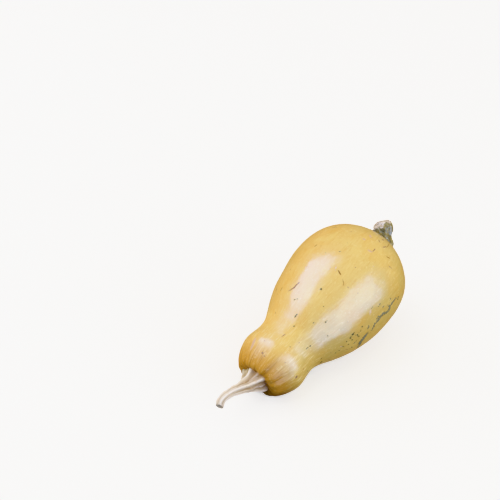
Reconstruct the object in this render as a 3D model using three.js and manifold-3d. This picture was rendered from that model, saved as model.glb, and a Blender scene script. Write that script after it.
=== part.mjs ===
// A butternut squash as picked, lying on its side on the worn flats of its belly and neck.
// Millimetres, +Z up. The stem points towards -X and the blossom end towards +X.
//
// It grew as three pieces of different tissue, and each is one solid:
//   squash_body   the fruit, a rounded neck that swells into a belly
//   stem          the dry five-ribbed stalk that flares onto the neck end
//   blossom_knob  the green woody knob with a corky head on the blossom end
//
// Each piece starts as a lathe shape whose outline is a cubic B-spline, and is then ribbed or bent.
// The stem and the knob are cut to the fruit's own surface, GROWTH_GAP away from it.
import * as THREE from "three";
import { NURBSCurve } from "three/addons/curves/NURBSCurve.js";
import { mergeVertices } from "three/addons/utils/BufferGeometryUtils.js";
import Module from "manifold-3d";

// ---- Driving dimensions ----

const FRUIT_LENGTH = 193; // from the neck end to the blossom end
const BELLY_RADIUS = 55.6;
const NECK_RADIUS = 32.5;
const BOW = 2.1; // how far the blossom end has grown to one side, towards +Y
const SEAT_DEPTH = 2.5; // how far the stem's seat is sunk into the neck end
const FLAT_DEPTH = 1.5; // how much the ground has flattened the belly and the neck

const STEM_FLARE_RADIUS = 12.8; // between ribs and grooves, where it grips the fruit
const STEM_SHANK_RADIUS = 5.6;
const STEM_TIP_RADIUS = 3.9;
const STEM_ROOT = 4; // how far the uncut stem reaches into the fruit
const STEM_RIBS = 5;

const KNOB_FLARE_RADIUS = 15;
const KNOB_WAIST_RADIUS = 8.4;
const KNOB_HEAD_RADIUS = 9.4;
const KNOB_ROOT = 5; // how far the uncut knob reaches into the fruit
const KNOB_RIBS = 8;
const KNOB_SEAT = new THREE.Vector3(FRUIT_LENGTH, BOW, 3); // along, beside and above the fruit's axis

const GROWTH_GAP = 0.3; // between the fruit and each of the other two pieces

const FRUIT_FACETS = { around: 54, along: 42 };
const STEM_FACETS = { around: 40, along: 26 };
const KNOB_FACETS = { around: 40, along: 16 };

const wasm = await Module();
wasm.setup();

// ---- Outlines, lathes and bends ----

/** Points along a cubic B-spline held at both ends; each control point is [height, radius]. */
function outline(controls, steps) {
  const degree = 3;
  const spans = controls.length - degree;
  const inner = Array.from({ length: spans + 1 }, (_, i) => i / spans);
  const knots = [...Array(degree).fill(0), ...inner, ...Array(degree).fill(1)];
  const points = controls.map(([height, radius]) => new THREE.Vector4(radius, height, 0, 1));
  const curve = new NURBSCurve(degree, knots, points);
  const made = curve.getPoints(steps).map((p) => new THREE.Vector2(p.x, p.y));
  made[0].x = 0;
  made[steps].x = 0;
  return made;
}

/** Moves every vertex of a geometry by a function that changes it in place. */
function moveVertices(geometry, move) {
  const position = geometry.getAttribute("position");
  const point = new THREE.Vector3();
  for (let i = 0; i < position.count; i++) {
    move(point.fromBufferAttribute(position, i));
    position.setXYZ(i, point.x, point.y, point.z);
  }
  geometry.computeBoundingBox();
  return geometry;
}

/** A lathe shape about +Y with its doubled seam and pole vertices merged. */
function turned(points, around) {
  const geometry = new THREE.LatheGeometry(points, around);
  geometry.deleteAttribute("normal");
  geometry.deleteAttribute("uv");
  const merged = mergeVertices(geometry, 1e-3);
  merged.computeBoundingBox();
  return merged;
}

/** Ribs a lathe shape: its radius grows and shrinks as a cosine round it, by a share at each height. */
function rib(geometry, count, shareAt) {
  return moveVertices(geometry, (p) => {
    const wave = Math.cos(count * Math.atan2(p.z, p.x));
    const scale = 1 + shareAt(p.y) * wave;
    p.set(p.x * scale, p.y, p.z * scale);
  });
}

/** Bends a lathe shape so that its +Y axis follows a path of the same length, from height 0 up. */
function bendAlong(geometry, path) {
  const length = path.getLength();
  const steps = 400;
  const frames = path.computeFrenetFrames(steps);
  return moveVertices(geometry, (p) => {
    const along = Math.min(Math.max(p.y / length, 0), 1);
    const step = Math.round(along * steps);
    const centre = path.getPointAt(step / steps);
    const beyond = p.y - (step / steps) * length;
    const { x, z } = p;
    p.copy(centre)
      .addScaledVector(frames.tangents[step], beyond)
      .addScaledVector(frames.normals[step], -x)
      .addScaledVector(frames.binormals[step], z);
  });
}

function solidOf(geometry) {
  return new wasm.Manifold(
    new wasm.Mesh({
      numProp: 3,
      vertProperties: geometry.getAttribute("position").array,
      triVerts: new Uint32Array(geometry.index.array),
    }),
  );
}

function geometryOf(solid) {
  const { vertProperties, triVerts } = solid.getMesh();
  return new THREE.BufferGeometry()
    .setAttribute("position", new THREE.BufferAttribute(vertProperties, 3))
    .setIndex(new THREE.BufferAttribute(triVerts, 1));
}

/** Cuts a placed mesh's geometry by a shape given in its parent's frame. */
function cutBy(mesh, tool) {
  mesh.updateMatrix();
  const placed = mesh.geometry.clone().applyMatrix4(mesh.matrix);
  const left = solidOf(placed).subtract(solidOf(tool));
  mesh.geometry = geometryOf(left).applyMatrix4(mesh.matrix.clone().invert());
}

/** The geometry with every vertex moved out along its own normal. */
function swollen(geometry, distance) {
  const grown = geometry.clone();
  grown.computeVertexNormals();
  const position = grown.getAttribute("position");
  const normal = grown.getAttribute("normal");
  for (let i = 0; i < position.count; i++) {
    position.setXYZ(
      i,
      position.getX(i) + distance * normal.getX(i),
      position.getY(i) + distance * normal.getY(i),
      position.getZ(i) + distance * normal.getZ(i),
    );
  }
  return grown;
}

// ---- The fruit ----

/** The fruit's outline: the dimple under the stem, the neck, the belly and the blossom end. */
function fruitOutline() {
  return outline(
    [
      [SEAT_DEPTH, 0],
      [SEAT_DEPTH, 0.33 * NECK_RADIUS],
      [-0.007 * FRUIT_LENGTH, 0.54 * NECK_RADIUS],
      [0.002 * FRUIT_LENGTH, 0.76 * NECK_RADIUS],
      [0.12 * FRUIT_LENGTH, 1.07 * NECK_RADIUS],
      [0.25 * FRUIT_LENGTH, 0.92 * NECK_RADIUS],
      [0.39 * FRUIT_LENGTH, 0.823 * BELLY_RADIUS],
      [0.53 * FRUIT_LENGTH, 0.989 * BELLY_RADIUS],
      [0.69 * FRUIT_LENGTH, 1.017 * BELLY_RADIUS],
      [0.86 * FRUIT_LENGTH, 0.914 * BELLY_RADIUS],
      [0.98 * FRUIT_LENGTH, 0.39 * BELLY_RADIUS],
      [FRUIT_LENGTH, 0.17 * BELLY_RADIUS],
      [FRUIT_LENGTH, 0],
    ],
    FRUIT_FACETS.along,
  );
}

/** The angle by which the axis rises towards the belly when neck and belly both touch the ground. */
function restingTilt(points) {
  const half = FRUIT_LENGTH * 0.45;
  const lowest = (side, tilt) =>
    Math.min(...side.map((p) => p.y * Math.sin(tilt) - p.x * Math.cos(tilt)));
  const neck = points.filter((p) => p.y < half);
  const belly = points.filter((p) => p.y >= half);
  let low = 0;
  let high = Math.PI / 6;
  for (let i = 0; i < 40; i++) {
    const middle = (low + high) / 2;
    if (lowest(neck, middle) > lowest(belly, middle)) low = middle;
    else high = middle;
  }
  return low;
}

const fruitPoints = fruitOutline();
const tilt = restingTilt(fruitPoints);

/** How far the fruit's middle has moved to the side, a given way along its axis. */
function bowAt(along) {
  const share = Math.max(0, along / FRUIT_LENGTH - 0.4) / 0.6;
  return BOW * share ** 2;
}

/** The fruit in its resting attitude, before the ground flattens it. Its neck end is at the origin. */
function fruitShape() {
  const straight = turned(fruitPoints, FRUIT_FACETS.around).rotateZ(-Math.PI / 2);
  const bowed = moveVertices(straight, (p) => p.setY(p.y + bowAt(p.x)));
  return bowed.rotateY(-tilt);
}

/** Flattens whatever is below the ground onto it. */
function flatten(geometry, ground) {
  return moveVertices(geometry, (p) => p.setZ(Math.max(p.z, ground)));
}

/** A point given along, beside and above the fruit's own axis, in the resting attitude. */
function onAxis(along, beside = 0, above = 0) {
  return new THREE.Vector3(along, beside, above).applyAxisAngle(new THREE.Vector3(0, 1, 0), -tilt);
}

// ---- The stem ----

/** The line that the stem grows along: out of the dimple on the fruit's axis, up, and down at the tip. */
function stemPath() {
  return new THREE.CatmullRomCurve3([
    onAxis(STEM_ROOT, 1, 1.2),
    onAxis(-3.5, 1, 1.2),
    new THREE.Vector3(-12.5, 0.9, 0.6),
    new THREE.Vector3(-22, 1, 2.5),
    new THREE.Vector3(-36.5, 1.8, 6.1),
    new THREE.Vector3(-47, 1.8, 6.4),
    new THREE.Vector3(-52.3, 0.4, 0.6),
  ]);
}

function stemShape(path) {
  const length = path.getLength();
  const rim = STEM_ROOT + 2;
  const points = outline(
    [
      [0, 0],
      [0, 0.8 * STEM_FLARE_RADIUS],
      [STEM_ROOT, STEM_FLARE_RADIUS],
      [rim, 1.03 * STEM_FLARE_RADIUS],
      [rim + 4, 0.84 * STEM_FLARE_RADIUS],
      [rim + 10, 0.6 * STEM_FLARE_RADIUS],
      [rim + 16, 1.1 * STEM_SHANK_RADIUS],
      [rim + 26, 0.87 * STEM_SHANK_RADIUS],
      [0.8 * length, STEM_TIP_RADIUS],
      [length - 1, STEM_TIP_RADIUS],
      [length, 0.9 * STEM_TIP_RADIUS],
      [length, 0],
    ],
    STEM_FACETS.along,
  );
  const ribShare = (height) => 0.06 + 0.12 * Math.exp(-height / 14);
  return bendAlong(rib(turned(points, STEM_FACETS.around), STEM_RIBS, ribShare), path);
}

// ---- The knob ----

/** The line that the knob grows along, from inside the fruit: out, and then upwards. */
function knobPath() {
  return new THREE.CatmullRomCurve3([
    new THREE.Vector3(-KNOB_ROOT, 0, 0),
    new THREE.Vector3(0, 0, 0),
    new THREE.Vector3(5, 1.1, 1.4),
    new THREE.Vector3(9.3, 3.6, 5),
    new THREE.Vector3(12.9, 7.6, 10),
  ]);
}

function knobShape(path) {
  const length = path.getLength();
  const points = outline(
    [
      [0, 0],
      [0, 0.8 * KNOB_FLARE_RADIUS],
      [KNOB_ROOT - 1, KNOB_FLARE_RADIUS],
      [KNOB_ROOT + 2, 0.78 * KNOB_FLARE_RADIUS],
      [KNOB_ROOT + 5, KNOB_WAIST_RADIUS],
      [KNOB_ROOT + 8, 0.97 * KNOB_HEAD_RADIUS],
      [length - 4, 1.08 * KNOB_HEAD_RADIUS],
      [length, 0.7 * KNOB_HEAD_RADIUS],
      [length, 0.35 * KNOB_HEAD_RADIUS],
      [length, 0],
    ],
    KNOB_FACETS.along,
  );
  const ribShare = (height) => 0.05 * (1 - THREE.MathUtils.smoothstep(height, 0.5 * length, length));
  return bendAlong(rib(turned(points, KNOB_FACETS.around), KNOB_RIBS, ribShare), path);
}

// ---- Assembly ----

function material(color, roughness) {
  return new THREE.MeshStandardMaterial({ color, roughness, metalness: 0 });
}

function piece(name, geometry, finish) {
  const mesh = new THREE.Mesh(geometry, finish);
  mesh.name = name;
  return mesh;
}

const fruit = fruitShape();
const clearance = swollen(fruit, GROWTH_GAP);
const ground = fruit.boundingBox.min.z + FLAT_DEPTH;
const body = piece("squash_body", flatten(fruit, ground), material(0xdcb765, 0.42));

const stem = piece("stem", stemShape(stemPath()), material(0xd6c3a2, 0.7));
stem.position.copy(onAxis(SEAT_DEPTH));
cutBy(stem, clearance);

const knob = piece("blossom_knob", knobShape(knobPath()), material(0x6f6f45, 0.55));
knob.position.copy(onAxis(...KNOB_SEAT));
knob.rotation.y = -tilt;
cutBy(knob, clearance);

const squash = new THREE.Group();
squash.add(body, stem, knob);

// The origin is on the ground, under the middle of the whole squash.
const bounds = new THREE.Box3().setFromObject(squash, true);
const centre = bounds.getCenter(new THREE.Vector3());
squash.position.set(-centre.x, -centre.y, -bounds.min.z);

export default squash;
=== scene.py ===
"""A butternut squash lying on its side: the looks of its three pieces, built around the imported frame.

The fruit, its dry stem and the knob on its blossom end are surfaces of two parameters, worked out
on grids with numpy. Each stands where its CAD node stands, in metres, and replaces it.
"""
import logging
import math
from dataclasses import dataclass, field
from enum import Enum
from functools import cached_property
from typing import ClassVar

import bpy
import numpy as np
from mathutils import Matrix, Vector


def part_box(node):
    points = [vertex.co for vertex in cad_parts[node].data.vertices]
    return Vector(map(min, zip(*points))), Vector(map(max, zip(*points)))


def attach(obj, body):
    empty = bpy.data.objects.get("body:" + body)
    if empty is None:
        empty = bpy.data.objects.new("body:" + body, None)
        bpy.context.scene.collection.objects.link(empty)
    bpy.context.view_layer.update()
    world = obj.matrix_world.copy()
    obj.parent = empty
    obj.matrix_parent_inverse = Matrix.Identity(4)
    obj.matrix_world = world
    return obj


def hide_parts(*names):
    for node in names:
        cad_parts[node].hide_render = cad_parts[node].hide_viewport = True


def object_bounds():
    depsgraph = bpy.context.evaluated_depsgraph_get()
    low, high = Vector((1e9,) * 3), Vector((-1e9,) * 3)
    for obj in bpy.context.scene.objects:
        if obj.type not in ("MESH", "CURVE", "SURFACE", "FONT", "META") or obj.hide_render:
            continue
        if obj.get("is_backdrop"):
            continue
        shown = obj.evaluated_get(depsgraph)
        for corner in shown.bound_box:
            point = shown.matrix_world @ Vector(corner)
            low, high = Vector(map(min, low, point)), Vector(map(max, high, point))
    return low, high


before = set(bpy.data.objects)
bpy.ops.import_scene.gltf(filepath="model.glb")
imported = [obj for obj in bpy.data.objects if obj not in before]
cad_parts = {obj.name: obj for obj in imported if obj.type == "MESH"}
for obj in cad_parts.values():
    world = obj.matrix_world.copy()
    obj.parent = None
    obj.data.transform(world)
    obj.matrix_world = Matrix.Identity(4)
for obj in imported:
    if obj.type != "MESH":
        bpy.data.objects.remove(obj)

MM = 0.001
ROOT_BODY = "root"

log = logging.getLogger("butternut_squash")

# A direction in the fruit's own axes is named by its turn: degrees round the fruit from the side
# that faces +Y, upwards. 90 is the top and 180 the side that faces -Y.


# ---- Numbers, curves and noise ----


def linear(code: str) -> tuple[float, float, float, float]:
    """Turns an sRGB colour into linear light.

    Args:
        code: the colour as "#rrggbb".

    Returns:
        Linear red, green and blue, and an alpha of 1.
    """
    coded = np.array([int(code[i : i + 2], 16) for i in (1, 3, 5)]) / 255
    lit = np.where(coded <= 0.04045, coded / 12.92, ((coded + 0.055) / 1.055) ** 2.4)
    return (float(lit[0]), float(lit[1]), float(lit[2]), 1.0)


def smoothstep(low: float, high: float, value: np.ndarray) -> np.ndarray:
    """Rises from 0 at low to 1 at high as 3s^2 - 2s^3, or falls where high is under low."""
    share = np.clip((value - low) / (high - low), 0, 1)
    return share * share * (3 - 2 * share)


def spline(controls: list[tuple[float, float]], shares: np.ndarray) -> np.ndarray:
    """Points on a cubic B-spline that starts at its first control point and ends at its last.

    The Cox-de Boor recursion: each basis function is the one before it times a rising ramp, plus
    the next one times a falling ramp, over uniform inner knots.

    Args:
        controls: the control points.
        shares: where along the knots to sample, from 0 to 1.

    Returns:
        One point for each share.
    """
    points = np.asarray(controls, float)
    knots = np.concatenate([np.zeros(3), np.linspace(0, 1, len(points) - 2), np.ones(3)])
    at = np.clip(shares, 0, 1 - 1e-9)[:, None]
    basis = ((knots[:-1] <= at) & (at < knots[1:])).astype(float)
    for degree in (1, 2, 3):
        count = len(knots) - 1 - degree
        rise = knots[degree : degree + count] - knots[:count]
        fall = knots[degree + 1 :] - knots[1 : count + 1]
        up = (at - knots[:count]) / np.where(rise > 0, rise, 1) * basis[:, :-1]
        down = (knots[degree + 1 :] - at) / np.where(fall > 0, fall, 1) * basis[:, 1:]
        basis = up + down
    return basis @ points


def through(points: np.ndarray, steps: int) -> np.ndarray:
    """A centripetal Catmull-Rom curve: each span is a Hermite cubic whose end speeds weigh the
    neighbouring chords by the square roots of their lengths.

    Args:
        points: the points that the curve passes through.
        steps: samples for each span.

    Returns:
        The sampled curve.
    """
    held = np.vstack([2 * points[0] - points[1], points, 2 * points[-1] - points[-2]])
    gaps = np.sqrt(np.linalg.norm(np.diff(held, axis=0), axis=1, keepdims=True))
    a, b, c, d = held[:-3], held[1:-2], held[2:-1], held[3:]
    before, here, after = gaps[:-2], gaps[1:-1], gaps[2:]
    leave = here * ((b - a) / before - (c - a) / (before + here) + (c - b) / here)
    reach = here * ((c - b) / here - (d - b) / (here + after) + (d - c) / after)
    t = np.linspace(0, 1, steps, endpoint=False)[:, None, None]
    cubic = (2 * (b - c) + leave + reach) * t**3
    square = (3 * (c - b) - 2 * leave - reach) * t**2
    curve = b + leave * t + square + cubic
    return np.vstack([curve.transpose(1, 0, 2).reshape(-1, 3), points[-1]])


def travelled(points: np.ndarray) -> np.ndarray:
    """The distance along a polyline at each of its points."""
    return np.concatenate([[0.0], np.cumsum(np.linalg.norm(np.diff(points, axis=0), axis=1))])


def evenly(points: np.ndarray, count: int) -> np.ndarray:
    """A polyline resampled to a number of points an equal distance apart."""
    length = travelled(points)
    spots = np.linspace(0, length[-1], count)
    return np.stack([np.interp(spots, length, axis) for axis in points.T], axis=-1)


def profile(controls: list[tuple[float, float]], rows: int) -> np.ndarray:
    """The B-spline of an outline's control points, as a number of points an equal distance apart."""
    fine = 3000
    return evenly(spline(controls, np.linspace(0, 1, fine)), rows)


def unit(vectors: np.ndarray) -> np.ndarray:
    """Vectors scaled to a length of 1."""
    return vectors / np.linalg.norm(vectors, axis=-1, keepdims=True)


def rolled(radius: float | np.ndarray, turns: np.ndarray, height: np.ndarray) -> np.ndarray:
    """Points round an axis: a radius times the cosine and the sine of an angle, and a height."""
    parts = (radius * np.cos(turns), radius * np.sin(turns), height)
    return np.stack(np.broadcast_arrays(*parts), axis=-1)


@dataclass(frozen=True)
class Ripple:
    """Smooth seeded unevenness: the sum of sine waves that run in random directions.

    Attributes:
        wavelength: the middle length of the waves, in metres.
        height: how far the sum strays from zero, in metres.
        seed: picks the directions, lengths and phases.
        waves: how many waves are summed.
    """

    wavelength: float
    height: float
    seed: int
    waves: int = 22

    def at(self, points: np.ndarray) -> np.ndarray:
        """The height at each point.

        Args:
            points: places in metres.

        Returns:
            One height for each of them.
        """
        draw = np.random.default_rng(self.seed)
        ways = unit(draw.normal(size=(self.waves, 3)))
        lengths = self.wavelength * draw.uniform(0.7, 1.5, self.waves)
        starts = draw.uniform(0, 2 * math.pi, self.waves)
        angles = 2 * math.pi * (points @ (ways / lengths[:, None]).T) + starts
        return self.height * np.sqrt(2 / self.waves) * np.sin(angles).sum(axis=-1)


@dataclass
class Skin:
    """A closed surface given as a grid whose first and last rows each meet in one point.

    Attributes:
        name: the piece's name.
        grid: rows x columns x 3 places. The columns close on themselves.
        values: what the finish reads, as grids of numbers, vectors or colours.
    """

    name: str
    grid: np.ndarray
    values: dict[str, np.ndarray] = field(default_factory=dict)

    def built(self) -> bpy.types.Object:
        """Makes the mesh: two fans at the poles and quads between, all facing outwards.

        Returns:
            The linked object, which sits at the origin.
        """
        rows, columns = self.grid.shape[:2]
        ring = np.arange(columns)
        after = (ring + 1) % columns
        starts = 1 + columns * np.arange(rows - 2)[:, None]
        last = 1 + columns * (rows - 2)
        corners = [starts[:-1] + ring, starts[:-1] + after, starts[1:] + after, starts[1:] + ring]
        quads = np.stack(corners, axis=-1).reshape(-1, 4)
        first_fan = np.stack([np.zeros_like(ring), 1 + after, 1 + ring], axis=-1)
        top = starts[-1]
        last_fan = np.stack([np.full_like(ring, last), top + ring, top + after], axis=-1)
        mesh = bpy.data.meshes.new(self.name)
        faces = [*first_fan.tolist(), *quads.tolist(), *last_fan.tolist()]
        mesh.from_pydata(self.flat(self.grid).tolist(), [], faces)
        mesh.polygons.foreach_set("use_smooth", np.ones(len(mesh.polygons), bool))
        for name, grid in self.values.items():
            self.write(mesh, name, self.flat(grid))
        mesh.validate()
        mesh.update()
        piece = bpy.data.objects.new(self.name, mesh)
        bpy.context.scene.collection.objects.link(piece)
        return piece

    @staticmethod
    def flat(grid: np.ndarray) -> np.ndarray:
        """A grid as one list over the vertices, with each pole row as a single entry."""
        return np.concatenate([grid[0, :1], grid[1:-1].reshape(-1, *grid.shape[2:]), grid[-1, :1]])

    @staticmethod
    def write(mesh: bpy.types.Mesh, name: str, numbers: np.ndarray) -> None:
        """Stores one number or one vector for each vertex.

        Args:
            mesh: the mesh.
            name: what the finish calls them.
            numbers: one number, or a row of three, for each vertex.
        """
        single = numbers.ndim == 1
        kind, key = ("FLOAT", "value") if single else ("FLOAT_VECTOR", "vector")
        layer = mesh.attributes.new(name, kind, "POINT")
        layer.data.foreach_set(key, np.ascontiguousarray(numbers, np.float32).ravel())


# ---- Shader building ----

Tree = bpy.types.NodeTree
Socket = bpy.types.NodeSocket
Span = tuple[float, float]


def put(tree: Tree, kind: str, inputs: dict | None = None, **settings) -> bpy.types.Node:
    """Adds one shader node.

    Args:
        tree: the tree that it goes into.
        kind: the node's type, without "ShaderNode" in front.
        inputs: a value, or another node's output, for each named or numbered socket.
        settings: the node's own properties.

    Returns:
        The node.
    """
    node = tree.nodes.new("ShaderNode" + kind)
    for name, value in settings.items():
        setattr(node, name, value)
    for socket, value in (inputs or {}).items():
        if isinstance(value, Socket):
            tree.links.new(value, node.inputs[socket])
        else:
            node.inputs[socket].default_value = value
    return node


def folded(tree: Tree, operation: str, *terms: Socket | float) -> Socket:
    """Combines masks and numbers by one math operation, from the first to the last.

    Args:
        tree: the material's tree.
        operation: the Math node's operation.
        terms: the masks and numbers.

    Returns:
        The outcome.
    """
    total = terms[0]
    for term in terms[1:]:
        total = put(tree, "Math", {0: total, 1: term}, operation=operation).outputs[0]
    return total


def within(tree: Tree, value: Socket, none: float, full: float) -> Socket:
    """A mask that goes smoothly from 0 where a value is at none to 1 where it is at full."""
    levels = {"Value": value, "From Min": none, "From Max": full}
    return put(tree, "MapRange", levels, interpolation_type="SMOOTHSTEP").outputs[0]


@dataclass(frozen=True)
class Fleck:
    """A noise pattern turned into a mask.

    Attributes:
        size: millimetres from one fleck to the next.
        low: the noise level where the mask starts.
        high: the noise level where it is full.
        stretch: how many times longer a fleck is along the third coordinate.
        detail: octaves of finer noise.
        shift: moves the pattern, so that two of one size don't coincide.
    """

    size: float
    low: float
    high: float
    stretch: float = 1.0
    detail: float = 1.5
    shift: float = 0.0

    def mask(self, tree: Tree, place: Socket) -> Socket:
        """Adds the pattern's nodes and returns its mask, from 0 to 1.

        Args:
            tree: the material's tree.
            place: the coordinates that the pattern follows, in metres.

        Returns:
            The mask.
        """
        often = 1 / (self.size * MM)
        scale = (often, often, often / self.stretch)
        spot = put(tree, "Mapping", {"Vector": place, "Scale": scale, "Location": (self.shift,) * 3})
        noise = put(tree, "TexNoise", {"Vector": spot.outputs[0], "Scale": 1.0, "Detail": self.detail})
        return within(tree, noise.outputs[0], self.low, self.high)


@dataclass(frozen=True)
class Coat:
    """A colour laid over what is below it.

    Attributes:
        mask: where it lies. Several masks are multiplied together.
        colour: an sRGB code, or a socket.
        strength: how much of what is below it hides, where its mask is full.
    """

    mask: Socket | tuple[Socket, ...]
    colour: str | Socket
    strength: float = 1.0


def laid(tree: Tree, ground: str, coats: list[Coat]) -> Socket:
    """Lays coats of colour over a ground colour, in order.

    Args:
        tree: the material's tree.
        ground: the colour under all of them.
        coats: the coats, from the lowest up.

    Returns:
        The colour that results.
    """
    below = put(tree, "RGB").outputs[0]
    below.default_value = linear(ground)
    for coat in coats:
        masks = coat.mask if isinstance(coat.mask, tuple) else (coat.mask,)
        share = folded(tree, "MULTIPLY", *masks, coat.strength)
        colour = linear(coat.colour) if isinstance(coat.colour, str) else coat.colour
        below = put(tree, "Mix", {0: share, 6: below, 7: colour}, data_type="RGBA").outputs[2]
    return below


def relief(tree: Tree, *layers: tuple[Socket, float]) -> Socket:
    """Sums masks times their heights in millimetres and returns the bumped normal."""
    heights = [folded(tree, "MULTIPLY", mask, tall) for mask, tall in layers]
    height = folded(tree, "ADD", *heights)
    return put(tree, "Bump", {"Height": height, "Distance": MM, "Strength": 1.0}).outputs[0]


def stored(tree: Tree, name: str, output: str = "Fac") -> Socket:
    """Reads what the mesh holds under a name, as a number or a vector."""
    return put(tree, "Attribute", attribute_name=name).outputs[output]


# ---- Finishes ----


class Finish:
    """A material, which a subclass names and gives its shader's inputs."""

    name: ClassVar[str]

    def made(self) -> bpy.types.Material:
        """Builds the material.

        Returns:
            The material, with one shader and what feeds it.
        """
        material = bpy.data.materials.new(self.name)
        material.use_nodes = True
        tree = material.node_tree
        tree.nodes.clear()
        place = put(tree, "TexCoord").outputs["Object"]
        shader = put(tree, "BsdfPrincipled", self.inputs(tree, place))
        put(tree, "OutputMaterial", {"Surface": shader.outputs[0]})
        return material

    def inputs(self, tree: Tree, place: Socket) -> dict[str, object]:
        """Adds what feeds the shader.

        Args:
            tree: the material's tree.
            place: the Object coordinates.

        Returns:
            A value, or another node's output, for each of the shader's sockets.
        """
        raise NotImplementedError


@dataclass(frozen=True)
class Rind(Finish):
    """The waxy rind of a ripe squash, grown and never polished.

    A thin natural wax lies over a matt skin, so the gloss is a soft band over a deep colour. Pale
    flecks stretch along the fruit as it swells, finest on the neck. Scars heal as grey cork.

    Attributes:
        ground: the colour under all the others.
        fibre_radius: the radius of the cylinder that the stored fibre coordinates lie on.
        neck: where the pale streaks start and where they are full. Each span is a pair of
            distances from the dimple over the skin.
        collar: the same for the golden brown round the stem.
        blossom: the same for the olive tinge at the other end.
        bare: the same for the thin wax round the stem.
        waist_far: the same for the thin wax at the waist, on its far side.
        waist_near: the same on its near side.
    """

    name: ClassVar[str] = "waxy_rind"
    ground: str = "#d9bf79"
    fibre_radius: float = 32.5 * MM
    neck: Span = (105 * MM, 40 * MM)
    collar: Span = (52 * MM, 27 * MM)
    blossom: Span = (185 * MM, 262 * MM)
    bare: Span = (50 * MM, 40 * MM)
    waist_far: Span = (83 * MM, 75 * MM)
    waist_near: Span = (59 * MM, 68 * MM)

    def inputs(self, tree: Tree, place: Socket) -> dict[str, object]:
        """What feeds the rind's shader."""
        fibre = stored(tree, "fibre", "Vector")
        along = put(tree, "SeparateXYZ", {0: fibre}).outputs[2]
        edge, core = self.marks(tree, place)
        collar = within(tree, along, *self.collar)
        thread = Fleck(1.0, 0.52, 0.74, stretch=11, detail=2, shift=7.3).mask(tree, fibre)
        sand = Fleck(0.9, 0.45, 0.75, stretch=1.6, shift=5.7).mask(tree, fibre)
        pores = Fleck(2.6, 0.3, 0.7, shift=4.4).mask(tree, place)
        coats = [
            *self.blush(tree, place, fibre),
            Coat(collar, "#bd8a36", 0.8),
            Coat(within(tree, along, *self.blossom), "#bda653", 0.7),
            Coat(thread, "#c7983c", 0.28),
            Coat((collar, thread), "#8f5f1c", 0.5),
            *self.streaks(tree, fibre, along, collar),
            Coat(Fleck(1.9, 0.62, 0.74, detail=1, shift=3.1).mask(tree, place), "#ebdca4", 0.32),
            Coat(sand, "#cfa24a", 0.16),
            # Painted shade: the underside of the neck end round the stem is darkened nearly to black,
            # where no light reaches from below.
            Coat((collar, self.facing(tree, fibre, 258, 0.05)), "#3c290a", 0.94),
            # Painted shade: the grooves of the pleats are darkened in the colour.
            Coat(stored(tree, "pleat"), "#714a14", 0.85),
            Coat(edge, stored(tree, "mark_edge", "Color"), 0.92),
            Coat(core, stored(tree, "mark_core", "Color"), 0.95),
        ]
        normal = relief(
            tree, (sand, 0.012), (thread, -0.012), (pores, 0.02), (edge, 0.06), (core, 0.05)
        )
        rough = {"Value": edge, "To Min": 0.4, "To Max": 0.75}
        wax = {"Value": self.dry(tree, along, edge), "To Min": 1.0, "To Max": 0.15}
        return {
            "Base Color": laid(tree, self.ground, coats),
            "Roughness": put(tree, "MapRange", rough).outputs[0],
            "IOR": 1.47,
            "Specular IOR Level": 0.2,
            "Coat Weight": put(tree, "MapRange", wax).outputs[0],
            "Coat Roughness": 0.19,
            "Coat IOR": 1.5,
            "Normal": normal,
            "Coat Normal": normal,
        }

    def blush(self, tree: Tree, place: Socket, fibre: Socket) -> list[Coat]:
        """The broad unevenness of the ripening: orange and olive sides, and soft clouds.

        Args:
            tree: the material's tree.
            place: the Object coordinates.
            fibre: the stored coordinates that run along the grain.

        Returns:
            The coats, from the lowest up.
        """
        return [
            Coat(self.facing(tree, fibre, 25, 0.2), "#e0a84c", 0.45),
            Coat(self.facing(tree, fibre, 200, 0.0), "#b0a058", 0.55),
            Coat(Fleck(34, 0.42, 0.66, stretch=1.6).mask(tree, place), "#dab05a", 0.3),
            Coat(Fleck(17, 0.5, 0.72, shift=1.9).mask(tree, place), "#e6d083", 0.35),
            Coat(Fleck(6, 0.5, 0.75, stretch=2.5, shift=8.8).mask(tree, fibre), "#d5a848", 0.25),
        ]

    def streaks(self, tree: Tree, fibre: Socket, along: Socket, collar: Socket) -> list[Coat]:
        """Fine pale streaks along the fruit, strongest on the neck outside the collar.

        Args:
            tree: the material's tree.
            fibre: the stored coordinates that run along the grain.
            along: the distance from the dimple over the skin.
            collar: the mask of the golden brown round the stem.

        Returns:
            The coats, from the lowest up.
        """
        streak = Fleck(1.25, 0.50, 0.70, stretch=7, detail=2.5).mask(tree, fibre)
        parts = {0: within(tree, along, *self.neck), 1: collar}
        neck = put(tree, "Math", parts, operation="SUBTRACT", use_clamp=True).outputs[0]
        return [Coat((streak, neck), "#f0e1b0", 0.6), Coat(streak, "#ead79a", 0.2)]

    def dry(self, tree: Tree, along: Socket, scars: Socket) -> Socket:
        """A mask of the skin with little wax: round the stem, at the waist and on scars.

        Args:
            tree: the material's tree.
            along: the distance from the dimple over the skin.
            scars: the mask of the scars.

        Returns:
            The largest of the three masks.
        """
        far = within(tree, along, *self.waist_far)
        near = within(tree, along, *self.waist_near)
        waist = folded(tree, "MULTIPLY", far, near)
        return folded(tree, "MAXIMUM", within(tree, along, *self.bare), scars, waist)

    def facing(self, tree: Tree, fibre: Socket, turn: float, low: float) -> Socket:
        """A mask for one side of the fruit: the cosine of the angle from a turn, from low up to 1.

        Args:
            tree: the material's tree.
            fibre: the stored coordinates that run along the grain.
            turn: the side, in degrees round the fruit.
            low: the cosine at which the mask starts.

        Returns:
            The mask.
        """
        angle = math.radians(turn)
        way = (math.cos(angle) / self.fibre_radius, math.sin(angle) / self.fibre_radius, 0)
        cosine = put(tree, "VectorMath", {0: fibre, 1: way}, operation="DOT_PRODUCT").outputs["Value"]
        return within(tree, cosine, low, 1.0)

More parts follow.
